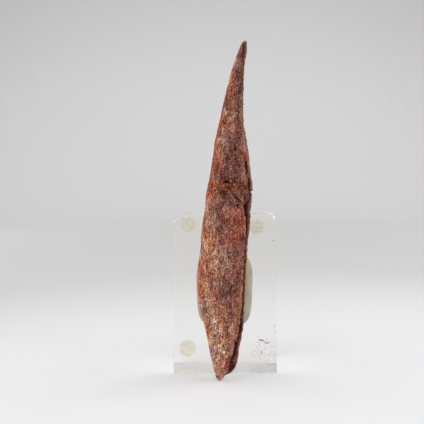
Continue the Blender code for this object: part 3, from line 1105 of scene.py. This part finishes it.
    def crack_depth(self, skin: Skin) -> Array:
        """Short cracks: the distance to each one's line, over its width.

        Args:
            skin: The surface.

        Returns:
            Depth from 0 to 1.
        """
        x, _, z = np.moveaxis(skin.points, -1, 0)
        wander = self.crack_wander_mm * MM * skin.noise(1.3, Seed.CRACKS)
        depth = np.zeros_like(x)
        for start_x, start_z, end_x, end_z, width in MM * np.array(self.cracks):
            run = np.array([end_x - start_x, end_z - start_z])
            t = np.clip(((x - start_x) * run[0] + (z - start_z) * run[1]) / (run @ run), 0, 1)
            away = np.hypot(x - start_x - t * run[0] + wander, z - start_z - t * run[1])
            depth = np.maximum(depth, bell(away, width))
        return depth

    def features(self, skin: Skin) -> Features:
        """Find what is at each point: fibres and pores from noise, and the listed marks.

        Args:
            skin: The surface.

        Returns:
            The features.
        """
        _, y, z = np.moveaxis(skin.points, -1, 0)
        gap, lot = pores(skin.leaning / (np.array(self.lumps.pore) * MM), Seed.PORES)
        toward = smooth_step(0.0, 0.3, (self.axis_y - y) / skin.thickness)
        layer, crease = self.torn_layer(skin)
        return Features(
            bundle=skin.noise(self.lumps.bundle, Seed.BUNDLES),
            strand=skin.noise(self.lumps.strand, Seed.STRANDS),
            pore=(1 - smooth_step(0.08, 0.34, gap)) * (lot > 0.55),
            toward=toward,
            front=toward * (skin.across < -0.99),
            layer=layer,
            crease=crease,
            slot=self.slot(skin),
            crack=self.crack_depth(skin),
            groove=1 - smooth_step(*self.groove_dark_end, z),
        )

    def heights(self, skin: Skin, seen: Features) -> Array:
        """How far each point is raised: slow sines and noise, fibres, pores and marks.

        Args:
            skin: The surface.
            seen: Its features.

        Returns:
            Heights in metres.
        """
        x, _, z = np.moveaxis(skin.points, -1, 0)
        size = self.relief
        slow = sum(np.sin(2 * math.pi * (z / long + x / wide) + phase) for long, wide, phase in self.waves)
        flank = between(skin.way, (0.0, 0.25), (0.85, 1.0))
        swell = flank * (size.slow * slow + size.broad * skin.noise(self.lumps.swell, Seed.SWELL))
        fibres = size.bundle * seen.bundle + size.strand * seen.strand - size.pore * seen.pore
        inner = 1 - smooth_step(0.90, 1.0, skin.way)
        cuts = size.crease * seen.crease + size.slot * seen.slot + size.crack * seen.crack
        marks = seen.front * (size.layer * inner * seen.layer - cuts)
        thin = np.minimum(skin.thickness / (2.5 * MM), 1)
        ends = between(z, (0, 1.5 * MM), (self.top - 1.5 * MM, self.top))
        return MM * thin * ends * (swell + fibres + marks)

    def recess_shading(self, skin: Skin, seen: Features) -> Array:
        """Painted shade on what is well below its surroundings: pores, marks, the far lip's inside, the
        groove.

        Args:
            skin: The surface.
            seen: Its features.

        Returns:
            Painted shade from 0 to 1.
        """
        _, y, z = np.moveaxis(skin.points, -1, 0)
        dark = self.shade_in_recesses
        cuts = np.minimum(1.25 * np.maximum(seen.slot, seen.crack), dark.cut)
        crease = seen.crease * smooth_step(-0.6, 0.2, seen.bundle + 0.6)
        far_lip = (skin.across > 0.6) * (y < self.axis_y + 4 * MM) * seen.groove
        inside = (skin.across > -0.97) * (1 - smooth_step(0.66, 0.72, skin.across)) * seen.groove
        broken = 1 - smooth_step(*self.broken_groove_end, z)
        broken = broken * smooth_step(-0.5, 0.5, seen.strand + 0.6 * seen.bundle)
        open_parts = dark.pore * seen.pore + seen.front * (cuts + crease) + dark.far_lip * far_lip
        floor = (dark.groove + (dark.broken_groove - dark.groove) * broken) * inside
        return np.clip(np.maximum(open_parts, floor), 0, 1)

    def wear_and_highlights(self, skin: Skin, seen: Features) -> Array:
        """Lighter edges: low on the near lip, wear with a painted highlight; a painted highlight on the
        ledge's ridge; and raw bone on the loose flake.

        Args:
            skin: The surface.
            seen: Its features.

        Returns:
            Wear and painted highlight, from 0 to 1.
        """
        x, y, z = np.moveaxis(skin.points, -1, 0)
        lip = bell(x - self.lip_x(Side.FRONT, z) + 0.2 * MM, 0.35 * MM) * (seen.front > 0)
        lip = lip * smooth_step(-0.2, 0.6, seen.strand) * (1 - smooth_step(*self.lip_light_end, z))
        above = z - np.interp(x, *(MM * np.array(self.ledge).T))
        ridge = bell(above - 0.55 * MM, 0.22 * MM) * smooth_step(-0.4, 0.4, seen.strand)
        ridge = ridge * between(x, *self.ledge_highlight)
        flake = between(z, *self.flake) * (skin.across > 0.7) * (y < self.axis_y + 4.5 * MM)
        return np.clip(0.8 * lip + seen.front * ridge + 0.6 * flake, 0, 1)

    def stained(self, skin: Skin, seen: Features) -> dict[str, Array]:
        """Patches of stain: ellipses whose edges are broken by noise, and thin cover elsewhere.

        The leading edge is tinted ochre, and low down it is lightened with tan as painted light; the groove
        is stained red.

        Args:
            skin: The surface.
            seen: Its features.

        Returns:
            Cover from 0 to 1 for each stain, by its name.
        """
        x, _, z = np.moveaxis(skin.points, -1, 0)
        edge = 0.55 * skin.noise(self.lumps.stain_edge, Seed.STAIN_EDGES)
        edge = edge + 0.35 * skin.noise(self.lumps.stain_nick, Seed.STAIN_NICKS)
        cover = {}
        for number, (stain, patches) in enumerate(self.stains):
            cloud = skin.noise(self.lumps.stain_cloud, Seed.STAIN_CLOUDS + number)
            cover[stain] = 0.55 * smooth_step(0.30, 0.75, cloud + 0.3 * edge) * (1 - 0.6 * seen.toward)
            for mid_x, mid_z, wide, high, strength in patches:
                away = np.hypot((x - mid_x * MM) / (wide * MM), (z - mid_z * MM) / (high * MM)) + edge
                patch = seen.toward * strength * (1 - smooth_step(0.60, 1.35, away))
                cover[stain] = np.maximum(cover[stain], patch)
        rims = {
            Stain.OCHRE: 0.32 * bell(skin.way, 0.07) * smooth_step(0.0, 0.004, z),
            # painted light: the leading edge lighter low down, where the left softboxes fall
            Stain.TAN: 0.55 * bell(skin.way, 0.25) * (1 - smooth_step(*self.lit_edge_end, z)),
            Stain.RED: 0.6 * seen.groove * (np.abs(skin.across) < 0.99),
        }
        cover.update({stain: np.maximum(cover[stain], rim) for stain, rim in rims.items()})
        return {stain.name.lower(): value for stain, value in cover.items()}

    def build(self) -> Object:
        """Make the spine: each point is raised along the normal of the plain surface.

        Returns:
            The spine's object.
        """
        skin = self.skin()
        seen = self.features(skin)
        along = np.gradient(skin.points, axis=0)
        around = np.roll(skin.points, -1, axis=1) - np.roll(skin.points, 1, axis=1)
        normal = np.cross(around, along)
        normal /= np.maximum(np.linalg.norm(normal, axis=-1, keepdims=True), 1e-12)
        raised = skin.points + normal * self.heights(skin, seen)[..., None]
        raised[..., 2] = np.clip(raised[..., 2], 0, self.top)
        piece = closed_bodies("fossil_fin_spine", [raised], self.finish.material())
        # painted shade in the recesses, and wear with painted highlights on the edges
        numbers = {"recess_shade": self.recess_shading(skin, seen), "worn_and_highlit": self.wear_and_highlights(skin, seen)}
        for name, values in (numbers | self.stained(skin, seen)).items():
            set_numbers(piece, name, values)
        return fit(piece, node="fin_spine")


# ---- The stand ----


@dataclass
class ClearBlock:
    """The upright acrylic block: a box whose edges and corners are rolled over by polishing."""

    finish: CastAcrylic
    half_width: float = 0.0250
    half_depth: float = 0.0125
    height: float = 0.0770
    edge: float = 0.00015
    foot_edge: float = 0.00005  # the edges round its underside are sharper
    steps: int = 3

    def build(self) -> Object:
        """Make the block.

        Every point is an inner corner plus the edge's radius times a direction on a sphere,
        and that direction is also the point's normal, so that the flats stay truly flat.

        Returns:
            The block's object.
        """
        quarter = np.linspace(0, math.pi / 2, self.steps + 1)
        turn = np.concatenate([quarter + i * math.pi / 2 for i in range(4)])
        corner = turn[:: self.steps + 1] + math.pi / 4
        sign_x = np.repeat(np.sign(np.cos(corner)), self.steps + 1)
        sign_y = np.repeat(np.sign(np.sin(corner)), self.steps + 1)
        tilt = np.concatenate([quarter - math.pi / 2, quarter])[1:-1]
        sign_z = np.repeat([-1.0, 1.0], self.steps)
        edge = np.where(sign_z < 0, self.foot_edge, self.edge)[:, None, None]
        inner = np.array([self.half_width, self.half_depth, self.height / 2]) - edge
        flat = np.cos(tilt)[:, None]
        direction = np.stack(
            [flat * np.cos(turn), flat * np.sin(turn), np.sin(tilt)[:, None] * np.ones_like(turn)], axis=-1
        )
        signs = np.stack(np.broadcast_arrays(sign_x, sign_y, sign_z[:, None]), axis=-1)
        seat = signs * inner
        cap = seat[:1] - [0, 0, self.foot_edge]
        lid = seat[-1:] + [0, 0, self.edge]
        points = np.concatenate([cap, seat + edge * direction, lid])
        points[..., 2] += self.height / 2
        piece = closed_bodies("clear_acrylic_block", [points], self.finish.material())
        up = np.zeros((1, turn.size, 3))
        up[..., 2] = 1
        normals = np.concatenate([-up, direction, up]).reshape(-1, 3)
        normals = np.vstack([normals, [[0, 0, -1], [0, 0, 1]]])
        piece.data.normals_split_custom_set_from_vertices(normals.tolist())
        return fit(piece, node="acrylic_block")


class FootPlace(Enum):
    """Where a foot is on the block's back, seen from the front, with its CAD node."""

    TOP_LEFT = "foot_top_left"
    TOP_RIGHT = "foot_top_right"
    BOTTOM_LEFT = "foot_bottom_left"


@dataclass
class RubberFoot:
    """One stick-on foot: a round dome on a short straight side, with a dished sole."""

    finish: Material
    place: FootPlace
    rim: float = 0.0005
    dish: float = 0.00005
    sole_edge: float = 0.00008  # how far the straight side starts above the block
    around: int = 96
    rings: int = 14
    split_at: float | None = None  # height of a cut across the foot, from its middle
    split_gap: float = 0.0006
    split_slope: float = 0.04
    split_shift: float = 0.0004  # how far the lower part has slid to the left
    split_shrink: float = 0.88  # the lower part's width, as a share of the foot's

    def build(self) -> Object:
        """Make the foot: rings of a sole, a rolled rim and a quarter-ellipse dome.

        Returns:
            The foot's object.
        """
        low, high = (np.array(corner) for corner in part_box(self.place.value))
        middle = (low + high) / 2
        radius, tall = (high[0] - low[0]) / 2, high[1] - low[1]
        sole = np.linspace(0.04, 0.97, self.rings)
        dome = np.linspace(0, math.pi / 2, self.rings)[:-1]
        share = np.concatenate([sole, [1.0], np.cos(dome)])
        dome_height = self.rim + (tall - self.rim) * np.sin(dome)
        depth = np.concatenate([self.dish * (1 - sole**2), [self.sole_edge], dome_height])
        turn = np.linspace(0, 2 * math.pi, self.around, endpoint=False)
        x = radius * share[:, None] * np.cos(-turn)
        z = radius * share[:, None] * np.sin(-turn)
        y = np.repeat(depth[:, None], self.around, axis=1)
        shells = [(x, z)]
        if self.split_at is not None:
            slant = self.split_at - self.split_slope * x
            lower_x = self.split_shrink * x - self.split_shift
            shells = [
                (x, np.maximum(z, slant + self.split_gap / 2)),
                (lower_x, np.minimum(z, slant - self.split_gap / 2)),
            ]
        rings = [np.stack([middle[0] + a, low[1] + y, middle[2] + b], axis=-1) for a, b in shells]
        piece = closed_bodies("bumper_" + self.place.value, rings, self.finish)
        # painted shade: darker toward the rim, most on its lower side
        rim_shade = (share[:, None] * (0.5 + 0.5 * np.sin(turn))).ravel()
        set_numbers(piece, "rim_shade", np.concatenate([np.append(rim_shade, [0, 0])] * len(shells)))
        return fit(piece, node=self.place.value)


class BlockFace(Enum):
    """A face of the block that carries marks: which way across, up and outward are there."""

    BACK = ((1, 0, 0), (0, 0, 1), (0, 1, 0))
    FRONT = ((1, 0, 0), (0, 0, 1), (0, -1, 0))
    TOP = ((1, 0, 0), (0, 1, 0), (0, 0, 1))


@dataclass
class BlockMarks:
    """What a lost foot left on the block's back, dirt near the edges, and painted highlights on the edges.

    Each patch gives its face, its middle across and up that face, half width and half height
    in millimetres, and its turn in degrees.
    """

    block: ClearBlock
    thickness: float = 0.00005
    raggedness: float = 0.30
    lobes: float = 2.2  # cells of noise from the middle of a patch to its edge
    around: int = 40
    patches: tuple[tuple[Mark, BlockFace, float, float, float, float, float], ...] = (
        (Mark.DARK_DIRT, BlockFace.BACK, 18.6, 11.7, 1.45, 0.33, -6.0),
        (Mark.PALE_DIRT, BlockFace.BACK, 20.0, 11.0, 0.60, 0.25, -45.0),
        (Mark.DARK_DIRT, BlockFace.BACK, 21.0, 10.1, 0.38, 0.44, 0.0),
        (Mark.PALE_DIRT, BlockFace.BACK, 22.2, 10.4, 0.55, 0.30, 20.0),
        (Mark.PALE_DIRT, BlockFace.BACK, 18.5, 5.6, 0.30, 0.90, -20.0),
        (Mark.PALE_DIRT, BlockFace.BACK, 13.2, 4.0, 0.20, 0.70, 15.0),
        (Mark.PALE_DIRT, BlockFace.BACK, 14.7, 3.6, 0.16, 0.60, -25.0),
        (Mark.PALE_DIRT, BlockFace.FRONT, 23.9, 22.6, 0.18, 1.00, -22.0),
        (Mark.PALE_DIRT, BlockFace.FRONT, 24.2, 19.8, 0.14, 0.60, 0.0),
        (Mark.DARK_DIRT, BlockFace.FRONT, 23.8, 64.3, 0.30, 0.34, 0.0),
        (Mark.PALE_DIRT, BlockFace.FRONT, -21.0, 76.7, 0.32, 0.18, 0.0),
        (Mark.PALE_DIRT, BlockFace.FRONT, -23.7, 76.6, 0.24, 0.14, 0.0),
        # painted highlights where the edges catch the softboxes
        (Mark.PAINTED_HIGHLIGHT, BlockFace.FRONT, -24.5, 73.8, 0.35, 0.45, 0.0),
        (Mark.PAINTED_HIGHLIGHT, BlockFace.FRONT, 23.9, 75.7, 0.40, 1.25, 22.0),
        (Mark.PAINTED_HIGHLIGHT, BlockFace.TOP, 23.2, -5.0, 0.45, 5.50, 6.0),
    )

    def patch(self, face: BlockFace, spec: tuple[float, ...], seed: int) -> Array:
        """One flat patch with a ragged outline, thin at its edge.

        The outline is an ellipse whose radius is multiplied by noise. Rings run from the
        middle of its underside over the edge to the middle of its top.

        Args:
            face: Which face of the block carries it.
            spec: Its middle across and up, half width, half height and turn.
            seed: Which outline it gets.

        Returns:
            Its rings.
        """
        middle_across, middle_up, wide, high = (size * MM for size in spec[:4])
        axes = np.array(face.value, dtype=float)
        turn = np.linspace(0, 2 * math.pi, self.around, endpoint=False)
        circle = np.stack([np.cos(turn), np.sin(turn), np.zeros_like(turn)], axis=-1)
        ragged = 1 + self.raggedness * lumpy(self.lobes * circle + 7.0 * seed, Seed.MARKS)
        reach = np.array([0.3, 0.7, 1.0, 0.7, 0.3])[:, None] * ragged
        flat = np.stack([reach * wide * np.cos(turn), reach * high * np.sin(turn)], axis=-1)
        cosine, sine = math.cos(math.radians(spec[4])), math.sin(math.radians(spec[4]))
        flat = flat @ np.array([[cosine, sine], [-sine, cosine]]) + [middle_across, middle_up]
        half = np.array([self.block.half_width, self.block.half_depth, self.block.height])
        depth = np.abs(axes[2]) @ half + self.thickness * np.array([0.1, 0.1, 0.5, 1.0, 1.0])
        points = flat @ axes[:2] + depth[:, None, None] * axes[2]
        return points if np.linalg.det(axes) > 0 else points[:, ::-1]

    def build(self) -> list[Object]:
        """Make one piece of each kind of mark.

        Returns:
            The pieces.
        """
        pieces = []
        for kind in Mark:
            rows = [(i, row) for i, row in enumerate(self.patches) if row[0] is kind]
            shells = [self.patch(row[1], row[2:], seed) for seed, row in rows]
            piece = closed_bodies("block_" + kind.name.lower(), shells, MarkedAcrylic(kind).material())
            pieces.append(fit(piece))
        return pieces


@dataclass
class PuttyPad:
    """The oval pad of putty: a low dome, pressed back where the spine was pushed into it."""

    finish: AdhesivePutty
    spine: FinSpine
    middle: Pair = (-0.0003, 0.0413)  # x and z
    half: Pair = (0.0135, 0.0180)
    squareness: Pair = (3.4, 4.3)  # exponents of its upper and lower half
    left_half: float = 0.0133  # half width of its left side
    taper: float = 0.10  # its right side is wider toward the top
    lean: float = -0.03
    swell: float = 0.0045
    least: float = 0.0012
    gap: float = 0.00045  # air between it and the spine
    rings: int = 60
    spokes: int = 200
    dents: Rows = ((0.18, 5.0, Seed.PUTTY_DENTS), (0.06, 1.6, Seed.PUTTY_NICKS))  # depth and size in mm

    def room(self, x: Array, z: Array, face_y: float) -> Array:
        """Depth from the block's face to the back of the spine, endless beside the spine.

        Args:
            x: Places across.
            z: Heights.
            face_y: Y of the block's face.

        Returns:
            The depth there.
        """
        front, far = curve_through(self.spine.front_edge, z), curve_through(self.spine.rear_edge, z)
        share = (x - front) / (far - front)
        back_y = self.spine.axis_y + self.spine.section_half(np.clip(share, 0, 1), z)
        return np.where((share > -0.02) & (share < 1.02), face_y - back_y, 1.0)

    def build(self) -> Object:
        """Make the pad: rings of a superellipse, as thick as its dome or as the room there.

        Returns:
            The pad's object.
        """
        face_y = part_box("putty_pad")[1][1]
        turn = -np.linspace(0, 2 * math.pi, self.spokes, endpoint=False)
        ring = np.linspace(0.01, 1, self.rings)[:, None] ** 0.8
        exponent = np.where(np.sin(turn) > 0, *self.squareness)
        shape = np.abs(np.cos(turn)) ** exponent + np.abs(np.sin(turn)) ** exponent
        reach = ring * shape ** (-1 / exponent)
        up = reach * np.sin(turn)
        half_x = np.where(np.cos(turn) > 0, self.half[0] * (1 + self.taper * up), self.left_half)
        x = self.middle[0] + half_x * reach * np.cos(turn) + self.lean * self.half[1] * up
        z = self.middle[1] + self.half[1] * up
        spot = np.stack([x, np.zeros_like(x), z], axis=-1)
        dents = sum(depth * MM * lumpy(spot / (size * MM), seed) for depth, size, seed in self.dents)
        dome = self.swell * (1 - 0.93 * ring**5) ** 0.5 + dents * (1 - ring**6)
        room = self.room(x, z, face_y) - self.gap
        thick = np.clip(dome, self.least, np.maximum(room, self.least))
        top = np.stack([x, face_y - thick, z], axis=-1)
        back_ring = np.stack([x[-1:], np.full_like(x[-1:], face_y), z[-1:]], axis=-1)
        body = np.concatenate([top, back_ring])
        piece = closed_bodies("mounting_putty_pad", [body], self.finish.material())
        return fit(piece, node="putty_pad")


# ---- Studio ----


@dataclass(frozen=True)
class Softbox:
    """One square softbox: where it hangs, the point that it faces, its side and its power."""

    name: str
    place: Triple
    aim: Triple
    side: float
    watts: float

    def hang(self) -> None:
        """Hang it, turned so that its face looks at its aim."""
        light = bpy.data.lights.new(self.name, "AREA")
        light.shape = "SQUARE"
        light.size = self.side
        light.energy = self.watts
        box = bpy.data.objects.new(self.name, light)
        box.location = self.place
        away = np.array(self.place) - np.array(self.aim)
        away /= np.linalg.norm(away)
        box.rotation_euler = (math.acos(away[2]), 0.0, math.atan2(away[0], -away[1]))
        bpy.context.scene.collection.objects.link(box)


@dataclass
class Studio:
    """The pale sweep, the soft lights and the camera."""

    paper: StudioPaper
    camera_distance: float = 0.3069  # from the middle of the block
    camera_height: float = 0.0953
    focal_px: float = 606.8
    frame_px: float = 424.0
    centre_px: Pair = (224.4, 177.0)
    roll_deg: float = 0.28
    floor_front: float = -2.5
    floor_end: float = 0.95
    floor_gap: float = 0.0001  # air under the block, which makes its underside a mirror
    sweep_radius: float = 0.60
    sweep_top: float = 2.2
    sweep_half_width: float = 2.5
    room_light: float = 0.52
    softboxes: tuple[Softbox, ...] = (
        Softbox("left_softbox", (-0.90, -0.10, 0.75), (0.0, 0.0, 0.05), 1.2, 3.9),
        Softbox("key_softbox", (-0.70, -0.50, 0.95), (0.0, 0.0, 0.05), 1.0, 1.8),
        Softbox("right_softbox", (0.90, -0.10, 0.75), (0.0, 0.0, 0.05), 1.2, 6.4),
        Softbox("front_softbox", (0.0, -1.10, 0.55), (0.0, 0.0, 0.08), 0.9, 2.1),
        Softbox("backdrop_softbox", (0.04, 0.70, 1.45), (0.04, 1.55, 0.35), 1.6, 2.7),
    )

    def build_sweep(self) -> None:
        """Make floor and wall as one sheet: a straight, a quarter circle and a straight."""
        floor = np.linspace(self.floor_front, self.floor_end, 20)[:-1]
        bend = np.linspace(0, math.pi / 2, 33)
        wall_y = self.floor_end + self.sweep_radius
        y = np.concatenate([floor, self.floor_end + self.sweep_radius * np.sin(bend), [wall_y]])
        z = np.concatenate([np.zeros_like(floor), self.sweep_radius * (1 - np.cos(bend)), [self.sweep_top]])
        x = np.linspace(-self.sweep_half_width, self.sweep_half_width, 9)
        points = np.stack(np.broadcast_arrays(x, y[:, None], z[:, None] - self.floor_gap), axis=-1)
        faces = grid_faces(y.size, x.size, closed=False).tolist()
        mesh_object("studio_sweep", points.reshape(-1, 3), faces, self.paper.material())

    def build_lights(self) -> None:
        """Light the set like a light tent: an even room and softboxes on all sides."""
        world = bpy.data.worlds.new("studio_room")
        world.use_nodes = True
        room = {"Color": (1.0, 1.0, 1.0, 1.0), "Strength": self.room_light}
        feed(world.node_tree.nodes["Background"], room)
        bpy.context.scene.world = world
        for softbox in self.softboxes:
            softbox.hang()

    def build_camera(self) -> None:
        """Set the camera level, looking along +Y, with a touch of roll."""
        data = bpy.data.cameras.new("camera")
        data.sensor_fit = "HORIZONTAL"
        data.lens = self.focal_px / self.frame_px * data.sensor_width
        data.shift_x = (self.frame_px / 2 - self.centre_px[0]) / self.frame_px
        data.shift_y = (self.centre_px[1] - self.frame_px / 2) / self.frame_px
        camera = bpy.data.objects.new("camera", data)
        camera.location = (0.0, -self.camera_distance, self.camera_height)
        camera.rotation_euler = (math.radians(90), math.radians(self.roll_deg), 0.0)
        bpy.context.scene.collection.objects.link(camera)
        bpy.context.scene.camera = camera


def main() -> None:
    """Build every piece and the studio, and log each piece's face count."""
    logging.basicConfig(level=logging.INFO, format="%(name)s: %(message)s")
    scene = bpy.context.scene
    scene.view_settings.view_transform = "Standard"
    scene.cycles.blur_glossy = 0.0  # light that has crossed the block stays sharp

    spine = FinSpine(FossilBone())
    block = ClearBlock(CastAcrylic())
    pieces = [spine.build(), block.build(), PuttyPad(AdhesivePutty(), spine).build()]
    rubber = BumperRubber().material()
    splits = {FootPlace.TOP_RIGHT: -0.0014}
    pieces += [RubberFoot(rubber, place, split_at=splits.get(place)).build() for place in FootPlace]
    pieces += BlockMarks(block).build()
    for piece in pieces:
        LOG.info("%s: %d faces", piece.name, len(piece.data.polygons))

    studio = Studio(StudioPaper())
    studio.build_sweep()
    studio.build_lights()
    studio.build_camera()


if __name__ == "__main__":
    main()
